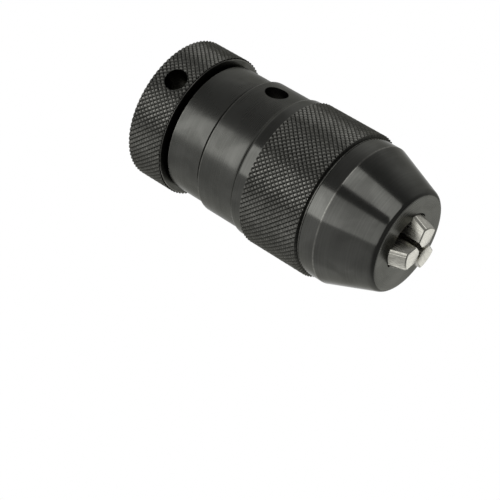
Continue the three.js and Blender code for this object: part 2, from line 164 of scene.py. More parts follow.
def knurledPiece(name, corners, knurl):
    # corners run from the front edge of the knurl round the piece and back to its rear edge
    points, faces, wearAndHighlight = [], [], []
    count, rows, flat = knurl["count"], knurl["rows"], knurl["flat"] / 2
    pitch = (knurl["front"] - knurl["rear"]) / rows * 2
    chance = random.Random(knurl["seed"])

    def spot(across, along, radius, edge):
        angle = fullTurn * across / count
        points.append((radius * math.cos(angle), radius * math.sin(angle), knurl["rear"] + along * pitch))
        wearAndHighlight.append(edge)
        return len(points) - 1

    rootRadius = knurl["radius"] - knurl["depth"]
    valley = {}
    for row in range(rows + 1):
        for column in range(row % 2, 2 * count, 2):
            valley[column, row] = spot(column / 2, row / 2, rootRadius, 0)
    rearLoop, frontLoop = [], []
    for row in range(rows + 1):
        for column in range((row + 1) % 2, 2 * count, 2):
            middle, level = column / 2, row / 2
            size = flat * chance.uniform(0.86, 1.14)
            if row in (0, rows):
                size = flat
            crest = knurl["radius"] - chance.uniform(0, knurl["unevenness"])
            if row in (0, rows):
                crest = knurl["radius"]
            left, right = valley[(column - 1) % (2 * count), row], valley[(column + 1) % (2 * count), row]
            # crest points are marked 1: worn crests, lightened also as a painted highlight
            leftTop = spot(middle - size, level, crest, 1)
            rightTop = spot(middle + size, level, crest, 1)
            tops = [leftTop, rightTop]
            if row < rows:
                high, highTop = valley[column, row + 1], spot(middle, level + size, crest, 1)
                faces += [[left, high, highTop, leftTop], [high, right, rightTop, highTop]]
                tops.append(highTop)
            if row > 0:
                low, lowTop = valley[column, row - 1], spot(middle, level - size, crest, 1)
                faces += [[low, left, leftTop, lowTop], [right, low, lowTop, rightTop]]
                tops.insert(1, lowTop)
            faces.append(tops)
            if row == 0:
                rearLoop += [left, leftTop, rightTop]
            if row == rows:
                frontLoop += [left, leftTop, rightTop]
    parts = (0, 0.5 - flat, 0.5 + flat)
    angles = [fullTurn * (step + part) / count for step in range(count) for part in parts]
    rings = spunRings(roundedOutline(corners), angles, points, faces, wearAndHighlight, False)
    joinRings(frontLoop, rings[0], faces)
    joinRings(rings[-1], rearLoop, faces)
    return meshPiece(name, points, faces, wearAndHighlight)


def joinSections(name, sections):
    # closed body through sections with the same number of (x, y, z) points
    count = len(sections[0])
    points = [point for section in sections for point in section]
    faces = []
    for level in range(len(sections) - 1):
        ring = [level * count + step for step in range(count)]
        joinRings(ring, [step + count for step in ring], faces)
    faces.append(list(range(count))[::-1])
    faces.append([len(points) - count + step for step in range(count)])
    return meshPiece(name, points, faces, [0] * len(points))


def block(name, low, high, angle=0):
    corners = [(low[0], low[1]), (high[0], low[1]), (high[0], high[1]), (low[0], high[1])]
    piece = joinSections(name, [[(x, y, z) for x, y in corners] for z in (low[2], high[2])])
    piece.data.transform(Matrix.Rotation(angle, 4, "Z"))
    return piece


def radialCutter(profile, z, angle):
    # profile is (radius of the hole, distance from the chuck's axis); the cutter points outwards
    corners = [(0, profile[0][1], 0), *[(r, h, 0) for r, h in profile], (0, profile[-1][1], 0)]
    tool = spunPiece("cutter", corners, shaping["cutterSteps"])
    tool.data.transform(Matrix.Rotation(math.pi / 2, 4, "Y"))
    tool.data.transform(Matrix.Translation((0, 0, z * mm)))
    tool.data.transform(Matrix.Rotation(angle, 4, "Z"))
    return tool


def machine(piece, tools, operation="DIFFERENCE"):
    for tool in tools:
        step = piece.modifiers.new("machining", "BOOLEAN")
        step.object = tool
        step.operation = operation
        step.solver = "MANIFOLD"
    settle(piece)
    for tool in tools:
        bpy.data.objects.remove(tool)
    return piece


def settle(piece):
    # the modifiers' result becomes the piece's own mesh
    bpy.context.view_layer.update()
    result = bpy.data.meshes.new_from_object(piece.evaluated_get(bpy.context.evaluated_depsgraph_get()))
    piece.modifiers.clear()
    piece.data = result


def softenEdges(piece, width):
    soften = piece.modifiers.new("soften", "BEVEL")
    soften.width = width * mm
    soften.segments = shaping["softenSteps"]
    soften.limit_method = "ANGLE"
    soften.angle_limit = math.radians(shaping["softenFrom"])
    soften.harden_normals = False
    settle(piece)


def shadeByAngle(piece):
    limit = math.radians(shaping["sharpFrom"])
    work = bmesh.new()
    work.from_mesh(piece.data)
    for face in work.faces:
        face.smooth = True
    for edge in work.edges:
        edge.smooth = len(edge.link_faces) == 2 and edge.calc_face_angle(0) < limit
    work.to_mesh(piece.data)
    work.free()


# ---- material groups


def newGroup(name, inputs, outputs):
    tree = bpy.data.node_groups.new(name, "ShaderNodeTree")
    for socket, value in inputs.items():
        entry = tree.interface.new_socket(socket, in_out="INPUT", socket_type="NodeSocketFloat")
        entry.default_value = value
    for socket, kind in outputs.items():
        tree.interface.new_socket(socket, in_out="OUTPUT", socket_type=kind)
    return tree, tree.nodes.new("NodeGroupInput"), tree.nodes.new("NodeGroupOutput")


def wire(tree, source, target):
    tree.links.new(source, target)


def calc(tree, operation, first, second=None, third=None):
    node = tree.nodes.new("ShaderNodeMath")
    node.operation = operation
    for socket, value in zip(node.inputs, (first, second, third)):
        if value is None:
            continue
        if isinstance(value, (int, float)):
            socket.default_value = value
        else:
            wire(tree, value, socket)
    return node.outputs[0]


def spread(tree, value, fromLow, fromHigh, toLow=0.0, toHigh=1.0):
    node = tree.nodes.new("ShaderNodeMapRange")
    node.interpolation_type = "SMOOTHSTEP"
    for socket, number in zip(node.inputs[1:5], (fromLow, fromHigh, toLow, toHigh)):
        socket.default_value = number
    wire(tree, value, node.inputs[0])
    return node.outputs[0]


def blendColours(tree, share, first, second):
    node = tree.nodes.new("ShaderNodeMix")
    node.data_type = "RGBA"
    pairs = ((node.inputs["Factor"], share), (node.inputs[6], first), (node.inputs[7], second))
    for socket, value in pairs:
        if isinstance(value, (tuple, float, int)):
            socket.default_value = value
        else:
            wire(tree, value, socket)
    return node.outputs[2]


def noise(tree, scale, detail, roughness=0.5, vector=None, dimensions="3D", w=None):
    node = tree.nodes.new("ShaderNodeTexNoise")
    node.noise_dimensions = dimensions
    node.inputs["Scale"].default_value = scale
    node.inputs["Detail"].default_value = detail
    node.inputs["Roughness"].default_value = roughness
    if vector is not None:
        wire(tree, vector, node.inputs["Vector"])
    if w is not None:
        wire(tree, w, node.inputs["W"])
    return node.outputs["Fac"]


def objectPoint(tree):
    return tree.nodes.new("ShaderNodeTexCoord").outputs["Object"]


def turnedDistance(tree):
    # distance along a turned surface: z plus the radius, in millimetres
    split = tree.nodes.new("ShaderNodeSeparateXYZ")
    wire(tree, objectPoint(tree), split.inputs[0])
    x, y, z = split.outputs
    squares = calc(tree, "ADD", calc(tree, "MULTIPLY", x, x), calc(tree, "MULTIPLY", y, y))
    radius = calc(tree, "SQRT", squares)
    return calc(tree, "MULTIPLY", calc(tree, "ADD", z, radius), 1 / mm)


def makeTurningMarks():
    # rings left by the lathe tool
    inputs = {"Pitch": 0.25, "Drift": 0.4}
    outputs = {"Height": "NodeSocketFloat", "Tone": "NodeSocketFloat"}
    tree, given, out = newGroup("turning marks", inputs, outputs)
    along = turnedDistance(tree)
    patch = noise(tree, 60, 3, vector=objectPoint(tree))
    drift = calc(tree, "MULTIPLY", given.outputs["Drift"], 0.2)
    along = calc(tree, "ADD", along, calc(tree, "MULTIPLY", patch, drift))
    steps = calc(tree, "DIVIDE", along, given.outputs["Pitch"])
    fine = noise(tree, 1, 3, 0.6, dimensions="1D", w=steps)
    broad = noise(tree, 0.13, 2, 0.5, dimensions="1D", w=steps)
    wire(tree, calc(tree, "ADD", fine, calc(tree, "MULTIPLY", broad, 0.6)), out.inputs["Height"])
    tone = calc(tree, "MULTIPLY", spread(tree, fine, 0.3, 0.75), spread(tree, broad, 0.3, 0.65, 0.45, 1.0))
    wire(tree, tone, out.inputs["Tone"])
    return tree


def makeEdgeWearAndHighlight():
    # lighter, bare-looking metal on corners and crests: partly where the finish has rubbed off, partly a
    # painted edge highlight
    tree, given, out = newGroup("edge wear and painted highlight", {"Amount": 0.5, "Break Up": 900.0}, {"Mask": "NodeSocketFloat"})
    mark = tree.nodes.new("ShaderNodeAttribute")
    mark.attribute_name = "wearAndHighlight"
    node = tree.nodes.new("ShaderNodeTexNoise")
    node.inputs["Detail"].default_value = 4
    wire(tree, given.outputs["Break Up"], node.inputs["Scale"])
    wire(tree, objectPoint(tree), node.inputs["Vector"])
    patchy = spread(tree, node.outputs["Fac"], 0.3, 0.7, 0.35, 1.0)
    rubbedAndHighlight = calc(tree, "MULTIPLY", mark.outputs["Fac"], patchy)
    wire(tree, calc(tree, "MULTIPLY", rubbedAndHighlight, given.outputs["Amount"]), out.inputs["Mask"])
    return tree


def makeOilFilm():
    # uneven oil and handling marks on a blackened surface
    inputs = {"Size": 90.0, "Contrast": 1.0}
    tree, given, out = newGroup("oil film", inputs, {"Tone": "NodeSocketFloat", "Specks": "NodeSocketFloat"})
    node = tree.nodes.new("ShaderNodeTexNoise")
    node.inputs["Detail"].default_value = 5
    node.inputs["Distortion"].default_value = 0.6
    wire(tree, given.outputs["Size"], node.inputs["Scale"])
    wire(tree, objectPoint(tree), node.inputs["Vector"])
    centred = calc(tree, "SUBTRACT", spread(tree, node.outputs["Fac"], 0.3, 0.7), 0.5)
    wire(tree, calc(tree, "MULTIPLY", centred, given.outputs["Contrast"]), out.inputs["Tone"])
    specks = noise(tree, 2600, 2, vector=objectPoint(tree))
    wire(tree, spread(tree, specks, 0.62, 0.72), out.inputs["Specks"])
    return tree


def makeFineGrain():
    tree, given, out = newGroup("fine grain", {"Size": 4000.0}, {"Height": "NodeSocketFloat"})
    node = tree.nodes.new("ShaderNodeTexNoise")
    node.inputs["Detail"].default_value = 3
    wire(tree, given.outputs["Size"], node.inputs["Scale"])
    wire(tree, objectPoint(tree), node.inputs["Vector"])
    wire(tree, node.outputs["Fac"], out.inputs["Height"])
    return tree


def makeGrinding():
    # long scratches of a surface grinder, along one of the piece's own directions
    inputs = {"Stretch": 14.0, "Fineness": 1800.0}
    outputs = {"Height": "NodeSocketFloat", "Tone": "NodeSocketFloat"}
    tree, given, out = newGroup("grinding lines", inputs, outputs)
    place = tree.nodes.new("ShaderNodeVectorMath")
    place.operation = "MULTIPLY"
    squeeze = tree.nodes.new("ShaderNodeCombineXYZ")
    squeeze.inputs[0].default_value = 1
    squeeze.inputs[1].default_value = 1
    wire(tree, calc(tree, "DIVIDE", 1.0, given.outputs["Stretch"]), squeeze.inputs[2])
    wire(tree, objectPoint(tree), place.inputs[0])
    wire(tree, squeeze.outputs[0], place.inputs[1])
    node = tree.nodes.new("ShaderNodeTexNoise")
    node.inputs["Detail"].default_value = 4
    wire(tree, given.outputs["Fineness"], node.inputs["Scale"])
    wire(tree, place.outputs[0], node.inputs["Vector"])
    wire(tree, node.outputs["Fac"], out.inputs["Height"])
    wire(tree, spread(tree, node.outputs["Fac"], 0.35, 0.65), out.inputs["Tone"])
    return tree


groups = {
    "turning": makeTurningMarks(),
    "wearAndHighlight": makeEdgeWearAndHighlight(),
    "film": makeOilFilm(),
    "grain": makeFineGrain(),
    "grinding": makeGrinding(),
}


def placeGroup(tree, kind, **values):
    node = tree.nodes.new("ShaderNodeGroup")
    node.node_tree = groups[kind]
    for socket, value in values.items():
        node.inputs[socket.replace("_", " ")].default_value = value
    return node


def metalFinish(name, look):
    # one metal: its own colour, worn edges with a painted edge highlight, tool marks, film and grain
    material = bpy.data.materials.new(name)
    material.use_nodes = True
    tree = material.node_tree
    shader = tree.nodes["Principled BSDF"]
    shader.inputs["Metallic"].default_value = look.get("metallic", 1.0)
    shader.inputs["Specular Tint"].default_value = (*look.get("grazing", (0.6, 0.6, 0.6)), 1)
    film = placeGroup(tree, "film", Size=look.get("filmSize", 90.0), Contrast=look.get("film", 0.4))
    lineKind, lineValues = look["lines"]
    lines = placeGroup(tree, lineKind, **lineValues)
    grain = placeGroup(tree, "grain", Size=look.get("grainSize", 4000.0))
    wearAndHighlight = placeGroup(tree, "wearAndHighlight", Amount=look.get("wearAndHighlight", 0.5))
    dark, light = (*look["dark"], 1), (*look["light"], 1)
    tone = calc(tree, "MULTIPLY_ADD", lines.outputs["Tone"], look.get("lineTone", 0.3), film.outputs["Tone"])
    colour = blendColours(tree, spread(tree, tone, -0.5, 0.8), dark, light)
    specks = calc(tree, "MULTIPLY", film.outputs["Specks"], look.get("specks", 0.1))
    colour = blendColours(tree, specks, colour, light)
    # corners and crests blend to the bare colour, which is both worn metal and a painted edge highlight
    colour = blendColours(tree, wearAndHighlight.outputs["Mask"], colour, (*look.get("bare", (0.4, 0.39, 0.36)), 1))
    wire(tree, colour, shader.inputs["Base Color"])
    smooth, rough = look["roughness"]
    roughness = spread(tree, tone, -0.6, 0.9, rough, smooth)
    wire(tree, roughness, shader.inputs["Roughness"])
    first = tree.nodes.new("ShaderNodeBump")
    first.inputs["Distance"].default_value = look.get("lineDepth", 0.004) * mm
    wire(tree, lines.outputs["Height"], first.inputs["Height"])
    second = tree.nodes.new("ShaderNodeBump")
    second.inputs["Distance"].default_value = look.get("grainDepth", 0.001) * mm
    wire(tree, grain.outputs["Height"], second.inputs["Height"])
    wire(tree, first.outputs["Normal"], second.inputs["Normal"])
    wire(tree, second.outputs["Normal"], shader.inputs["Normal"])
    return material


# each look's bare colour and wear amount set the worn edges with their painted highlight
blackLook = {
    "dark": (0.066, 0.0665, 0.061),
    "light": (0.112, 0.1125, 0.104),
    "bare": (0.30, 0.295, 0.27),
    "grazing": (0.61, 0.61, 0.59),
    "roughness": (0.19, 0.32),
    "film": 0.5,
    "wearAndHighlight": 0.55,
    "lines": ("turning", {"Pitch": 0.22, "Drift": 0.4}),
    "lineDepth": 0.003,
}
finishes = {
    "black oxide": metalFinish("black oxide", blackLook),
    "blackened knurl": metalFinish("blackened knurl", {
        **blackLook,
        "dark": (0.046, 0.0465, 0.042),
        "light": (0.084, 0.0845, 0.078),
        "grazing": (0.45, 0.45, 0.43),
        "roughness": (0.22, 0.36),
        "wearAndHighlight": 0.5,
    }),
    "polished black": metalFinish("polished black", {
        **blackLook,
        "light": (0.118, 0.1185, 0.11),
        "roughness": (0.1, 0.17),
        "lines": ("turning", {"Pitch": 0.3, "Drift": 0.15}),
        "lineDepth": 0.002,
    }),
    "ground jaw steel": metalFinish("ground jaw steel", {
        "dark": (0.42, 0.412, 0.365),
        "light": (0.6, 0.59, 0.53),
        "bare": (0.62, 0.61, 0.57),
        "roughness": (0.2, 0.36),
        "film": 0.3,
        "wearAndHighlight": 0.6,
        "lines": ("grinding", {"Stretch": 22.0, "Fineness": 2600.0}),
        "lineTone": 0.7,
        "lineDepth": 0.006,
    }),
    "turned hub steel": metalFinish("turned hub steel", {
        "dark": (0.2, 0.197, 0.18),
        "light": (0.34, 0.335, 0.31),
        "bare": (0.5, 0.49, 0.46),
        "roughness": (0.22, 0.38),
        "film": 0.5,
        "lines": ("turning", {"Pitch": 0.3, "Drift": 0.3}),
        "lineDepth": 0.005,
    }),
    "dark guide steel": metalFinish("dark guide steel", {
        "dark": (0.05, 0.05, 0.046),
        "light": (0.1, 0.1, 0.093),
        "roughness": (0.3, 0.45),
        "film": 0.6,
        "wearAndHighlight": 0.4,
        "lines": ("turning", {"Pitch": 0.3, "Drift": 0.3}),
    }),
    "bearing steel": metalFinish("bearing steel", {
        "dark": (0.5, 0.5, 0.49),
        "light": (0.66, 0.66, 0.65),
        "roughness": (0.08, 0.16),
        "film": 0.3,
        "lines": ("turning", {"Pitch": 0.12, "Drift": 0.2}),
        "lineDepth": 0.001,
    }),
    "cage brass": metalFinish("cage brass", {
        "dark": (0.42, 0.27, 0.09),
        "light": (0.68, 0.48, 0.2),
        "bare": (0.8, 0.62, 0.32),
        "roughness": (0.24, 0.4),
        "film": 0.7,
        "lines": ("turning", {"Pitch": 0.2, "Drift": 0.5}),
    }),
    "spring steel": metalFinish("spring steel", {
        "dark": (0.2, 0.19, 0.17),
        "light": (0.36, 0.35, 0.33),
        "roughness": (0.25, 0.4),
        "film": 0.5,
        "lines": ("grinding", {"Stretch": 4.0, "Fineness": 1500.0}),
    }),
}
print("chuck: finishes made")


def addPiece(piece, node, body, finish, zones=()):
    # zones are (finish, from z, to z) for stretches of the outside with a finish of their own
    shadeByAngle(piece)
    piece.data.materials.clear()
    piece.data.materials.append(finishes[finish])
    for number, (zoneFinish, zFrom, zTo) in enumerate(zones, 1):
        piece.data.materials.append(finishes[zoneFinish])
        for face in piece.data.polygons:
            if zFrom < face.center.z / mm < zTo:
                face.material_index = number
    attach(piece, body)
    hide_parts(node)
    return piece


# ---- knurled ring

ringValues = {
    "bore": 14.15,
    "boreChamfer": 0.3,
    "chamfer": 0.25,
    "frontLand": 0.2,     # flat past the chamfer on the front face
    "frontRound": 0.12,
    "rearRound": 0.2,
    "knurlCount": 87,
    "knurlRows": 14,
    "knurlDepth": 0.34,
    "knurlFlat": 0.36,    # share of a knurl's pitch that its worn top takes
    "hole": 3.85,
    "holeZ": 7.6,
    "holeChamfer": 0.12,
    "flareReach": 2.4,
    "pastBore": 2,
    "unevenness": 0.03,
    "seed": 3,
}


def makeKnurledRing():
    v = ringValues
    low, high = boxOf("knurled_ring")
    radius = high.x
    root = radius - v["knurlDepth"]
    chamferEnd = root - v["chamfer"]
    knurl = {
        "count": v["knurlCount"], "rows": v["knurlRows"], "flat": v["knurlFlat"], "depth": v["knurlDepth"],
        "rear": low.z + v["chamfer"], "front": high.z - v["chamfer"],
        "radius": radius, "unevenness": v["unevenness"], "seed": v["seed"],
    }
    bore, edge = v["bore"], v["boreChamfer"]
    corners = [
        (chamferEnd + v["frontLand"], high.z, v["frontRound"]), (bore + edge, high.z, 0),
        (bore, high.z - edge, 0), (bore, low.z + edge, 0), (bore + edge, low.z, 0),
        (chamferEnd, low.z, v["rearRound"]),
    ]
    ring = knurledPiece("knurled_ring_shell", corners, knurl)
    hole, reach = v["hole"], v["flareReach"]
    flare = root - v["holeChamfer"]
    profile = [(hole, bore - v["pastBore"]), (hole, flare), (hole + reach, flare + reach)]
    drill = radialCutter(profile, v["holeZ"], 0)
    machine(ring, [drill, *dowelDrills()])
    return addPiece(ring, "knurled_ring", "hub_body", "blackened knurl")


# ---- bearing cup

cupValues = {
    "neckBore": 13.3,
    "bodyEnd": 29.1,
    "threadRadius": 21.35,
    "bore": 19.55,
    "web": 3,
    "rearChamfer": 0.6,
    "frontChamfer": 0.95,
    "neckRound": 0.15,
    "rearRound": 0.12,
    "rimRound": 0.2,
}


def makeBearingCup():
    v = cupValues
    low, high = boxOf("bearing_cup")
    radius = high.x
    corners = [
        (v["neckBore"], low.z, v["neckRound"]), (radius - v["rearChamfer"], low.z, v["rearRound"]),
        (radius, low.z + v["rearChamfer"], v["rearRound"]), (radius, v["bodyEnd"] - v["frontChamfer"], 0),
        (v["threadRadius"], v["bodyEnd"], 0), (v["threadRadius"], high.z, v["rimRound"]),
        (v["bore"], high.z, v["rimRound"]), (v["bore"], low.z + v["web"], 0),
        (v["neckBore"], low.z + v["web"], v["neckRound"]),
    ]
    cup = spunPiece("bearing_cup_shell", corners)
    return addPiece(cup, "bearing_cup", "sleeve_body", "black oxide")


# ---- sleeve

sleeveValues = {
    "rearBore": 21.5,
    "plainRadius": 23.4,
    "collarRadius": 24.15,
    "collarStart": 43.4,
    "collarEnd": 48.0,
    "riseRound": 1.2,
    "shoulderZ": 31.5,
    "shoulderEnd": 38.0,
    "shoulderRadius": 17.0,
    "bore": 20.8,
    "seatZ": 56.8,
    "frontBore": 22.5,
    "knurlCount": 88,
    "knurlRows": 24,
    "knurlDepth": 0.34,
    "knurlFlat": 0.36,
    "frontChamfer": 0.85,
    "frontRadius": 23.85,
    "padRadius": 18.9,
    "padEnd": 40.6,
    "hole": 3.85,
    "holeZ": 35.9,
    "holeAngle": -39.6,
    "holeDepth": 3.4,
    "holeChamfer": 0.12,
    "flareReach": 2.5,
    "knurlLead": 0.4,     # from the collar to the knurl
    "collarRound": 0.12,
    "rearRound": 0.15,
    "frontRound": 0.1,
    "reliefDepth": 0.35,  # below the knurl's roots, beside the collar
    "reliefWidth": 0.1,
    "finishOverlap": 0.05,
    "unevenness": 0.03,
    "seed": 8,
}


def makeSleeve():
    v = sleeveValues
    low, high = boxOf("sleeve")
    radius = high.x
    root = radius - v["knurlDepth"]
    knurl = {
        "count": v["knurlCount"], "rows": v["knurlRows"], "flat": v["knurlFlat"], "depth": v["knurlDepth"],
        "rear": v["collarEnd"] + v["knurlLead"], "front": high.z - v["frontChamfer"],
        "radius": radius, "unevenness": v["unevenness"], "seed": v["seed"],
    }
    rise = v["collarRadius"] - v["plainRadius"]
    plain, collar = v["plainRadius"], v["collarRadius"]
    corners = [
        (v["frontRadius"], high.z, v["frontRound"]), (v["frontBore"], high.z, 0),
        (v["frontBore"], v["seatZ"], 0), (v["bore"], v["seatZ"], 0), (v["bore"], v["padEnd"], 0),
        (v["padRadius"], v["padEnd"], 0), (v["padRadius"], v["shoulderEnd"], 0),
        (v["shoulderRadius"], v["shoulderEnd"], 0), (v["shoulderRadius"], v["shoulderZ"], 0),
        (v["rearBore"], v["shoulderZ"], 0), (v["rearBore"], low.z, 0), (plain, low.z, v["rearRound"]),
        (plain, v["collarStart"], v["riseRound"]), (collar, v["collarStart"] + rise, v["riseRound"]),
        (collar, v["collarEnd"], v["collarRound"]),
        (root - v["reliefDepth"], v["collarEnd"] + v["reliefWidth"], 0),
    ]
    sleeve = knurledPiece("sleeve_shell", corners, knurl)
    hole, reach = v["hole"], v["flareReach"]
    flare = plain - v["holeChamfer"]
    profile = [(hole, plain - v["holeDepth"]), (hole, flare), (hole + reach, flare + reach)]
    drill = radialCutter(profile, v["holeZ"], math.radians(v["holeAngle"]))
    machine(sleeve, [drill])
    knurlFinishFrom = v["collarEnd"] + v["finishOverlap"]
    zones = [
        ("polished black", v["collarStart"], knurlFinishFrom),
        ("blackened knurl", knurlFinishFrom, high.z),
    ]
    return addPiece(sleeve, "sleeve", "sleeve_body", "black oxide", zones)


# ---- jaws: shared by the hood's mouth, the guide and the jaws themselves

jawValues = {
    "count": 3,
    "firstAngle": 66,
    "width": 6.8,
    "frontRadius": 7.8,
    "coneAngle": 20.5,
    "innerRadius": 1.3,
    "tipHalfWidth": 0.65,
    "wedgeAngle": 60,     # between a gripping flank and the jaw's middle plane
    "backSteps": 12,
    "gripLength": 17.2,
    "tailRadius": 13.6,
    "tailThickness": 4.6,
    "tailPlay": 0.2,      # between a jaw's head and the nut's slot
    "backPastNut": 1.07,
    "overlap": 0.5,       # of the neck with the head and the jaw
    "facetFrom": 0.68,    # share of the half width where the back's side facets start
    "facetDrop": 0.12,
    "crease": 0.13,       # half width and depth of the line where they start
    "frontChamfer": 0.3,
    "edge": 0.1,
    "pathGap": 0.45,
}
coneSlope = math.tan(math.radians(jawValues["coneAngle"]))
jawFront = boxOf("jaw_1")[1].z
jawAngles = evenAngles(jawValues["count"], math.radians(jawValues["firstAngle"]))


def jawSection(inner, outer, half, z, facets=True):
    # wedge towards the axis, rounded back away from it
    v = jawValues
    rise = (half - v["tipHalfWidth"]) / math.tan(math.radians(v["wedgeAngle"]))
    backRadius = v["frontRadius"]
    flankFrom = v["facetFrom"] * half
    outline = [(inner, -v["tipHalfWidth"]), (inner + rise, -half)]

    def backAt(y):
        drop = backRadius - math.sqrt(backRadius ** 2 - y ** 2)
        if facets and abs(y) > flankFrom:
            drop += v["facetDrop"] * (abs(y) - flankFrom) / (half - flankFrom)
        return outer - drop

    crease = v["crease"] if facets else 0
    innerFlank = flankFrom - v["crease"]
    steps = v["backSteps"]
    across = [innerFlank * (2 * step / steps - 1) for step in range(steps + 1)]
    outline += [(backAt(half), -half), (backAt(flankFrom), -flankFrom - v["crease"])]
    outline += [(backAt(flankFrom) - crease, -flankFrom)]
    outline += [(backAt(y), y) for y in across]
    outline += [(backAt(flankFrom) - crease, flankFrom)]
    outline += [(backAt(flankFrom), flankFrom + v["crease"]), (backAt(half), half)]
    outline += [(inner + rise, half), (inner, v["tipHalfWidth"])]
    return [(x, y, z) for x, y in outline]


def makeJaw(index):
    v = jawValues
    half = v["width"] / 2
    nutLow, nutHigh = boxOf("jaw_nut")
    jawBack = nutHigh.z + v["backPastNut"]
    gripStart = jawFront - v["gripLength"]
    bend = jawFront - (v["tailRadius"] - v["frontRadius"]) / coneSlope
    tailInner = v["tailRadius"] - v["tailThickness"]

    def backAt(z):
        return min(v["tailRadius"], v["frontRadius"] + (jawFront - z) * coneSlope)

    def innerAt(z):
        share = max(0, (gripStart - z) / (gripStart - jawBack))
        return v["innerRadius"] + (tailInner - v["innerRadius"]) * share

    levels = [jawBack, min(gripStart, bend), max(gripStart, bend), jawFront - v["frontChamfer"]]
    sections = [jawSection(innerAt(z), backAt(z), half, z) for z in levels]
    bevel = v["frontChamfer"]
    end = jawSection(v["innerRadius"], backAt(jawFront) - bevel, half - bevel, jawFront)
    jaw = joinSections(f"jaw_{index + 1}_ground", [*sections, end])
    play = v["tailPlay"]
    neckHalf = nutValues["neckWidth"] / 2 - play
    headHalf = nutValues["headWidth"] / 2 - play
    headBottom = nutLow.z + nutValues["web"] + play
    headTop = nutHigh.z - nutValues["lip"] - play
    neckLow = (tailInner, -neckHalf, headTop - v["overlap"])
    neck = block("neck", neckLow, (v["tailRadius"], neckHalf, jawBack + v["overlap"]))
    head = block("head", (tailInner, -headHalf, headBottom), (v["tailRadius"], headHalf, headTop))
    machine(jaw, [neck, head], "UNION")
    softenEdges(jaw, v["edge"])
    jaw.data.transform(Matrix.Rotation(jawAngles[index], 4, "Z"))
    return addPiece(jaw, f"jaw_{index + 1}", f"jaw_{index + 1}_body", "ground jaw steel")


def jawPath(zFrom, zTo, gap, angle):
    # the room that a jaw sweeps, with a gap all round
    v = jawValues

    def backAt(z):
        return v["frontRadius"] + (jawFront - z) * coneSlope + gap

    sections = [jawSection(0, backAt(z), v["width"] / 2 + gap, z, facets=False) for z in (zFrom, zTo)]
    path = joinSections("jaw_path", sections)
    path.data.transform(Matrix.Rotation(angle, 4, "Z"))
    return path


# ---- hood

hoodValues = {
    "threadRadius": 22.2,
    "spigotBore": 20.8,
    "bandEnd": 77.2,
    "bandChamfer": 0.12,
    "noseRound": 2.1,
    "mouthRadius": 8.4,
    "mouthRound": 0.25,
    "lip": 3,
    "bearingGap": 0.3,
    "seam": 0.08,
    "bandRound": 0.25,
    "roundSteps": 240,
    "faceFinish": 0.05,   # the front face keeps the plain finish from here on
    "cutPast": 1,
}


def makeHood():
    v = hoodValues
    low, high = boxOf("hood")
    radius = high.x
    bandStart = boxOf("sleeve")[1].z + v["seam"]
    lipZ = high.z - v["lip"]

    def coneAt(z):
        return jawValues["frontRadius"] + (jawFront - z) * coneSlope + v["bearingGap"]

    coneStart = high.z - (v["spigotBore"] - coneAt(high.z)) / coneSlope
    noseRadius = radius - coneSlope * (high.z - v["bandEnd"])
    corners = [
        (v["spigotBore"], low.z, 0), (v["threadRadius"], low.z, 0), (v["threadRadius"], bandStart, 0),
        (radius - v["bandChamfer"], bandStart, 0), (radius, bandStart + v["bandChamfer"], 0),
        (radius, v["bandEnd"], v["bandRound"]), (noseRadius, high.z, v["noseRound"]),
        (v["mouthRadius"], high.z, v["mouthRound"]), (v["mouthRadius"], lipZ, 0),
        (coneAt(lipZ), lipZ, 0), (v["spigotBore"], coneStart, 0),
    ]
    hood = spunPiece("hood_shell", corners, v["roundSteps"])
    cutFrom, cutTo = lipZ - v["cutPast"], high.z + v["cutPast"]
    machine(hood, [jawPath(cutFrom, cutTo, jawValues["pathGap"], angle) for angle in jawAngles])
    zones = [("polished black", bandStart, high.z - v["faceFinish"])]
    return addPiece(hood, "hood", "sleeve_body", "black oxide", zones)


# ---- hub

hubValues = {
    "socketRadius": 8.89,
    "socketTaper": 1 / 20.02,
    "socketDepth": 33,
    "socketRound": 0.5,
    "socketChamfer": 0.4,
    "drillPoint": 1.2,
    "drillRadius": 1.5,
    "seatRadius": 14,
    "ringLength": 13.8,
    "neckRadius": 13,
    "flangeZ": 25.7,
    "flangeEnd": 29.7,
    "flangeRadius": 19.25,
    "bossRadius": 12,
    "bossEnd": 36.5,
    "dowelRadius": 1.65,
    "dowelDepth": 8.65,
    "dowelRound": 0.35,
    "screwRadius": 7,
    "screwDepth": 2,
    "screwPitch": 4,
    "screwCrest": 1.46,
    "screwRoot": 2.54,
    "screwChamfer": 1,
    "screwSteps": 48,
    "edge": 0.3,
    "ringSeatEdge": 0.2,
    "bossEdge": 0.5,
    "rearEdge": 0.4,
    "mouthEdge": 0.1,
    "coreFoot": 2,        # how far the screw's core starts inside the boss
    "coreShort": 0.4,     # how far it stops behind the end face
    "threadFoot": 1.5,
}
threadValues = {
    "embed": 0.4,
    "rootExtra": 0.2,
    "crestRound": 0.15,
    "crestFlare": 0.04,
    "crestInset": 0.11,
}


def screwThread(v, zFrom, zTo):
    # left-handed ridge that passes the +X direction at z = 0
    t = threadValues
    sections = []
    rootHalf = (v["screwRoot"] + t["rootExtra"]) / 2
    crestHalf = v["screwCrest"] / 2
    crest = v["screwRadius"]
    rootRadius = crest - v["screwDepth"] - t["embed"]
    shoulder = crest - t["crestRound"]
    first = math.floor((zFrom / v["screwPitch"] - 1) * v["screwSteps"])
    last = math.ceil((zTo / v["screwPitch"] + 1) * v["screwSteps"])
    for step in range(first, last + 1):
        turns = step / v["screwSteps"]
        angle = -fullTurn * turns
        middle = turns * v["screwPitch"]
        ridge = [
            (rootRadius, rootHalf), (rootRadius, -rootHalf), (shoulder, -crestHalf - t["crestFlare"]),
            (crest, -crestHalf + t["crestInset"]), (crest, crestHalf - t["crestInset"]),
            (shoulder, crestHalf + t["crestFlare"]),
        ]
        sections.append([(r * math.cos(angle), r * math.sin(angle), middle + z) for r, z in ridge])
    return joinSections("thread", sections)


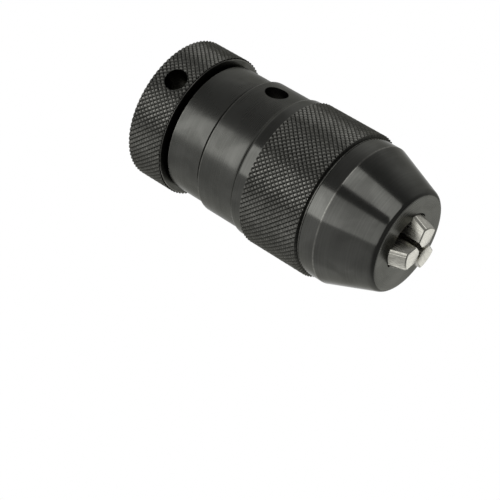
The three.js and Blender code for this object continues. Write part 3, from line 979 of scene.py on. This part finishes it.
def dowelDrills():
    # each dowel sits half in the hub and half in the ring
    radius, depth = hubValues["dowelRadius"], hubValues["dowelDepth"]
    drills = []
    for name in ("ring_dowel_1", "ring_dowel_2"):
        pinLow, pinHigh = boxOf(name)
        middle = (pinLow + pinHigh) / 2
        drill = spunPiece("drill", [(0, -1, 0), (radius, -1, 0), (radius, depth, 0), (0, depth, 0)],
                          shaping["pinSteps"])
        drill.data.transform(Matrix.Translation((middle.x * mm, middle.y * mm, 0)))
        drills.append(drill)
    return drills


def makeHub():
    v = hubValues
    high = boxOf("hub")[1]
    socket, deep = v["socketRadius"], v["socketDepth"]
    socketEnd = socket - deep * v["socketTaper"] / 2
    mouth, edge = v["socketChamfer"], v["edge"]
    corners = [
        (0, deep + v["drillPoint"], 0), (v["drillRadius"], deep, 0), (socketEnd, deep, v["socketRound"]),
        (socket, mouth, 0), (socket + mouth, 0, v["mouthEdge"]), (v["seatRadius"], 0, v["rearEdge"]),
        (v["seatRadius"], v["ringLength"], v["ringSeatEdge"]), (v["neckRadius"], v["ringLength"], 0),
        (v["neckRadius"], v["flangeZ"], edge), (v["flangeRadius"], v["flangeZ"], edge),
        (v["flangeRadius"], v["flangeEnd"], edge), (v["bossRadius"], v["flangeEnd"], v["bossEdge"]),
        (v["bossRadius"], v["bossEnd"], v["bossEdge"]), (0, v["bossEnd"], 0),
    ]
    hub = spunPiece("hub_turned", corners)
    root, foot = v["screwRadius"] - v["screwDepth"], v["bossEnd"] - v["coreFoot"]
    coreEnd = high.z - v["coreShort"]
    core = spunPiece("core", [
        (0, foot, 0), (root, foot, 0), (root, coreEnd, v["ringSeatEdge"]), (0, coreEnd, 0),
    ], shaping["screwCoreSteps"])
    wide, tipFoot, chamfer = v["screwRadius"] + 1, v["bossEnd"] - v["threadFoot"], v["screwChamfer"]
    tip = spunPiece("tip", [
        (0, tipFoot, 0), (wide, tipFoot, 0), (wide, high.z - chamfer - 1, 0),
        (v["screwRadius"] - chamfer, high.z, 0), (0, high.z, 0),
    ], shaping["screwCoreSteps"])
    thread = screwThread(v, v["bossEnd"], high.z)
    machine(thread, [tip], "INTERSECT")
    machine(hub, dowelDrills())
    machine(hub, [core, thread], "UNION")
    return addPiece(hub, "hub", "hub_body", "turned hub steel")


# ---- thrust bearing and its spring

bearingValues = {
    "bore": 13.15,
    "ballCircle": 16.275,
    "ballRadius": 2.25,
    "trackPlay": 0.05,
    "trackSteps": 10,
    "cageBore": 13.3,
    "pocketPlay": 0.1,
    "edge": 0.25,
    "ballCount": 16,
    "ballSteps": 40,
    "springWidth": 2.8,
    "springThickness": 0.5,
    "springWaves": 4,
    "springWave": 0.45,
    "springEdge": 0.12,
}


def makeRace(name, body, facing):
    v = bearingValues
    low, high = boxOf(name)
    outer = high.x
    faceZ, backZ = (high.z, low.z) if facing > 0 else (low.z, high.z)
    ballLow, ballHigh = boxOf("bearing_ball_01")
    ballZ = (ballLow.z + ballHigh.z) / 2
    trackRadius = v["ballRadius"] + v["trackPlay"]
    half = math.sqrt(trackRadius ** 2 - (ballZ - faceZ) ** 2)
    track = []
    for step in range(v["trackSteps"] + 1):
        off = half * (1 - 2 * step / v["trackSteps"])
        track.append((v["ballCircle"] + off, ballZ - facing * math.sqrt(trackRadius ** 2 - off ** 2), 0))
    corners = [(v["bore"], backZ, v["edge"]), (outer, backZ, v["edge"]), (outer, faceZ, v["edge"]), *track,
               (v["bore"], faceZ, v["edge"])]
    if facing < 0:
        corners.reverse()
    return addPiece(spunPiece(name + "_ground", corners), name, body, "bearing steel")


def makeBallCage():
    v = bearingValues
    low, high = boxOf("ball_cage")
    corners = [(v["cageBore"], low.z, v["edge"]), (high.x, low.z, v["edge"]), (high.x, high.z, v["edge"]),
               (v["cageBore"], high.z, v["edge"])]
    cage = spunPiece("ball_cage_turned", corners)
    pockets = []
    for angle in evenAngles(v["ballCount"]):
        radius = v["ballRadius"] + v["pocketPlay"]
        pocket = spunPiece("pocket", [(0, low.z - 1, 0), (radius, low.z - 1, 0), (radius, high.z + 1, 0),
                                      (0, high.z + 1, 0)], shaping["pinSteps"])
        across = v["ballCircle"] * mm
        pocket.data.transform(Matrix.Translation((across * math.cos(angle), across * math.sin(angle), 0)))
        pockets.append(pocket)
    machine(cage, pockets)
    return addPiece(cage, "ball_cage", "ball_cage_body", "cage brass")


def makeBall(number):
    v = bearingValues
    name = f"bearing_ball_{number:02d}"
    low, high = boxOf(name)
    turns = [math.pi * step / v["ballSteps"] for step in range(v["ballSteps"] + 1)]
    outline = [(v["ballRadius"] * math.sin(turn), -v["ballRadius"] * math.cos(turn), 0) for turn in turns]
    outline[0], outline[-1] = (0, -v["ballRadius"], 0), (0, v["ballRadius"], 0)
    ball = spunPiece(name + "_lapped", outline, v["ballSteps"])
    ball.data.transform(Matrix.Translation((low + high) / 2 * mm))
    return addPiece(ball, name, "ball_cage_body", "bearing steel")


def makeWaveSpring():
    v = bearingValues
    low, high = boxOf("wave_spring")
    outer, middle = high.x, (low.z + high.z) / 2
    inner, half, edge = outer - v["springWidth"], v["springThickness"] / 2, v["springEdge"]
    section = [(inner + edge, -half), (outer - edge, -half), (outer, edge - half), (outer, half - edge),
               (outer - edge, half), (inner + edge, half), (inner, half - edge), (inner, edge - half)]
    points, faces, rings = [], [], []
    for angle in evenAngles(shaping["roundSteps"]):
        lift = middle + v["springWave"] * math.cos(v["springWaves"] * angle)
        rings.append([len(points) + step for step in range(len(section))])
        points += [(r * math.cos(angle), r * math.sin(angle), lift + z) for r, z in section]
    for ring, after in zip(rings, rings[1:] + rings[:1]):
        joinRings(ring, after, faces)
    spring = meshPiece("wave_spring_wire", points, faces, [0] * len(points))
    return addPiece(spring, "wave_spring", "sleeve_body", "spring steel")


def makeDowel(number):
    name = f"ring_dowel_{number}"
    low, high = boxOf(name)
    middle = (low + high) / 2
    radius = (high.x - low.x) / 2
    edge = hubValues["dowelRound"]
    corners = [(0, low.z, 0), (radius, low.z, edge), (radius, high.z, edge), (0, high.z, 0)]
    dowel = spunPiece(name + "_pin", corners, shaping["pinSteps"])
    dowel.data.transform(Matrix.Translation((middle.x * mm, middle.y * mm, 0)))
    return addPiece(dowel, name, "hub_body", "ground jaw steel")


# ---- jaw guide and jaw nut

guideValues = {
    "strapBore": 19.0,
    "flangeRadius": 22.2,
    "flangeThickness": 1.7,
    "strapRadius": 20.5,
    "bore": 8.6,
    "legStart": 67.96,
    "coneStart": 66.23,
    "slotWidth": 7.2,
    "slotEnd": 20.6,
    "edge": 0.2,
}


def makeJawGuide():
    v = guideValues
    low, high = boxOf("jaw_guide")
    tipRadius = jawValues["frontRadius"] + (jawFront - high.z) * coneSlope
    edge = v["edge"]
    corners = [
        (v["strapBore"], low.z, 0), (v["flangeRadius"], low.z, edge),
        (v["flangeRadius"], low.z + v["flangeThickness"], edge),
        (v["strapRadius"], low.z + v["flangeThickness"], 0), (v["strapRadius"], v["coneStart"], edge),
        (tipRadius, high.z, edge), (v["bore"], high.z, edge), (v["bore"], v["legStart"], edge),
        (v["strapBore"], v["legStart"], 0),
    ]
    guide = spunPiece("jaw_guide_milled", corners)
    half = v["slotWidth"] / 2
    slotLow, slotHigh = (0, -half, low.z - 1), (v["slotEnd"], half, high.z + 1)
    slots = [block("slot", slotLow, slotHigh, angle) for angle in jawAngles]
    machine(guide, slots)
    return addPiece(guide, "jaw_guide", "sleeve_body", "dark guide steel")


nutValues = {
    "radius": 18.6,
    "edge": 0.5,
    "web": 2.4,
    "lip": 3.4,
    "slotFrom": 8.0,
    "neckWidth": 5.4,
    "headWidth": 9.2,
    "screwRadius": 7.3,
    "screwDepth": 2,
    "screwPitch": 4,
    "screwCrest": 1.96,
    "screwRoot": 3.04,
    "screwSteps": 48,
}


def makeJawNut():
    v = nutValues
    low, high = boxOf("jaw_nut")
    radius, edge = v["radius"], v["edge"]
    corners = [(0, low.z, 0), (radius, low.z, edge), (radius, high.z, edge), (0, high.z, 0)]
    nut = spunPiece("jaw_nut_milled", corners)
    root = v["screwRadius"] - v["screwDepth"]
    ends = low.z - 1, high.z + 1
    core = spunPiece("core", [
        (0, ends[0], 0), (root, ends[0], 0), (root, ends[1], 0), (0, ends[1], 0),
    ], shaping["screwCoreSteps"])
    tools = [core, screwThread(v, low.z, high.z)]
    slotEnd, floor = v["radius"] + 1, low.z + v["web"]
    for angle in jawAngles:
        for width, top in ((v["neckWidth"], high.z + 1), (v["headWidth"], high.z - v["lip"])):
            tools.append(block("slot", (v["slotFrom"], -width / 2, floor), (slotEnd, width / 2, top), angle))
    machine(nut, tools)
    return addPiece(nut, "jaw_nut", "jaw_nut_body", "turned hub steel")


makeKnurledRing()
makeBearingCup()
makeSleeve()
makeHood()
makeHub()
for jawIndex in range(jawValues["count"]):
    makeJaw(jawIndex)
print("chuck: shells, hub and jaws made")
makeRace("rear_race", "sleeve_body", 1)
makeRace("front_race", "hub_body", -1)
makeBallCage()
for ballNumber in range(1, bearingValues["ballCount"] + 1):
    makeBall(ballNumber)
makeWaveSpring()
for dowelNumber in (1, 2):
    makeDowel(dowelNumber)
makeJawGuide()
makeJawNut()
print("chuck: bearing, guide and nut made")


# ---- floor, light and camera

studio = {
    "floorSize": 4,
    "floorDrop": 0.0003,
    "brightSide": (-0.94, 0.342, 0),
    "roomDark": 0.2,
    "roomLight": 0.66,
    "brightLift": 0.36,
    "level": 0.72,
    "overhead": 0.35,
    "lowKey": {"azimuth": 31.5, "elevation": -26, "width": 0.74, "height": 0.5, "glow": 1.75},
    "highKey": {"azimuth": 31.5, "elevation": 18, "width": 0.74, "height": 1.1, "glow": 0.85},
    "stripe": {"azimuth": -24, "elevation": 22, "width": 0.6, "height": 1.06, "glow": 1.35},
    "back": {"azimuth": 194, "elevation": 28, "width": 0.6, "height": 0.6, "glow": 0.92},
    "lightDistance": 1.0,
    "aimHeight": 0.05,
}


def makeFloor():
    half = studio["floorSize"] / 2
    mesh = bpy.data.meshes.new("floor")
    corners = [(-half, -half), (half, -half), (half, half), (-half, half)]
    mesh.from_pydata([(x, y, -studio["floorDrop"]) for x, y in corners], [], [(0, 1, 2, 3)])
    floor = bpy.data.objects.new("floor", mesh)
    bpy.context.scene.collection.objects.link(floor)
    material = bpy.data.materials.new("pale floor")
    material.use_nodes = True
    tree = material.node_tree
    tree.nodes.clear()
    glow = tree.nodes.new("ShaderNodeEmission")
    glow.inputs["Color"].default_value = (1, 1, 1, 1)
    # clear from underneath, so that the back face can be seen
    side = tree.nodes.new("ShaderNodeMixShader")
    wire(tree, tree.nodes.new("ShaderNodeNewGeometry").outputs["Backfacing"], side.inputs[0])
    wire(tree, glow.outputs[0], side.inputs[1])
    wire(tree, tree.nodes.new("ShaderNodeBsdfTransparent").outputs[0], side.inputs[2])
    wire(tree, side.outputs[0], tree.nodes.new("ShaderNodeOutputMaterial").inputs[0])
    mesh.materials.append(material)
    floor.visible_glossy = False
    floor.visible_diffuse = False
    floor.visible_shadow = False
    floor.visible_transmission = False


def makeRoom():
    world = bpy.data.worlds.new("studio")
    world.use_nodes = True
    tree = world.node_tree
    background = tree.nodes["Background"]
    direction = tree.nodes.new("ShaderNodeTexCoord").outputs["Generated"]
    facing = tree.nodes.new("ShaderNodeVectorMath")
    facing.operation = "DOT_PRODUCT"
    wire(tree, direction, facing.inputs[0])
    facing.inputs[1].default_value = studio["brightSide"]
    split = tree.nodes.new("ShaderNodeSeparateXYZ")
    wire(tree, direction, split.inputs[0])
    side = spread(tree, facing.outputs["Value"], -0.95, -0.2, studio["roomDark"], studio["roomLight"])
    side = calc(tree, "ADD", side, spread(tree, facing.outputs["Value"], 0.5, 1.0, 0, studio["brightLift"]))
    glow = calc(tree, "MULTIPLY", side, spread(tree, split.outputs[2], -0.45, 0.3, 1, studio["level"]))
    glow = calc(tree, "MULTIPLY", glow, spread(tree, split.outputs[2], 0.25, 0.8, 1, studio["overhead"]))
    seen = tree.nodes.new("ShaderNodeLightPath").outputs["Is Camera Ray"]
    glow = calc(tree, "MAXIMUM", glow, seen)
    wire(tree, glow, background.inputs["Strength"])
    background.inputs["Color"].default_value = (1, 1, 1, 1)
    bpy.context.scene.world = world


def makeSoftBox(name, azimuth, elevation, width, height, glow):
    light = bpy.data.lights.new(name, "AREA")
    light.shape = "RECTANGLE"
    light.size = width
    light.size_y = height
    light.energy = glow * math.pi * width * height
    lamp = bpy.data.objects.new(name, light)
    bpy.context.scene.collection.objects.link(lamp)
    a, e = math.radians(azimuth), math.radians(elevation)
    outward = Vector((math.cos(e) * math.cos(a), math.cos(e) * math.sin(a), math.sin(e)))
    lamp.location = Vector((0, 0, studio["aimHeight"])) + outward * studio["lightDistance"]
    lamp.rotation_euler = outward.to_track_quat("Z", "Y").to_euler()
    lamp.visible_camera = False


cameraValues = {
    "lens": 130.77,
    "sensorWidth": 36,
    "clipStart": 0.01,
    "place": (0.48381, 0.15188, 0.32117),
    "right": (-0.25679, -0.61226, 0.74777),
    "up": (0.45231, -0.75991, -0.46688),
}


def makeCamera():
    v = cameraValues
    lens = bpy.data.cameras.new("camera")
    lens.lens = v["lens"]
    lens.sensor_width = v["sensorWidth"]
    lens.clip_start = v["clipStart"]
    camera = bpy.data.objects.new("camera", lens)
    bpy.context.scene.collection.objects.link(camera)
    right = Vector(v["right"]).normalized()
    up = Vector(v["up"]).normalized()
    back = right.cross(up)
    turn = Matrix((right, up, back)).transposed().to_4x4()
    camera.matrix_world = Matrix.Translation(v["place"]) @ turn
    bpy.context.scene.camera = camera


makeFloor()
makeRoom()
for lampName in ("lowKey", "highKey", "stripe", "back"):
    makeSoftBox(lampName, **studio[lampName])
makeCamera()
bpy.context.scene.view_settings.view_transform = "Standard"
print("chuck: studio made")
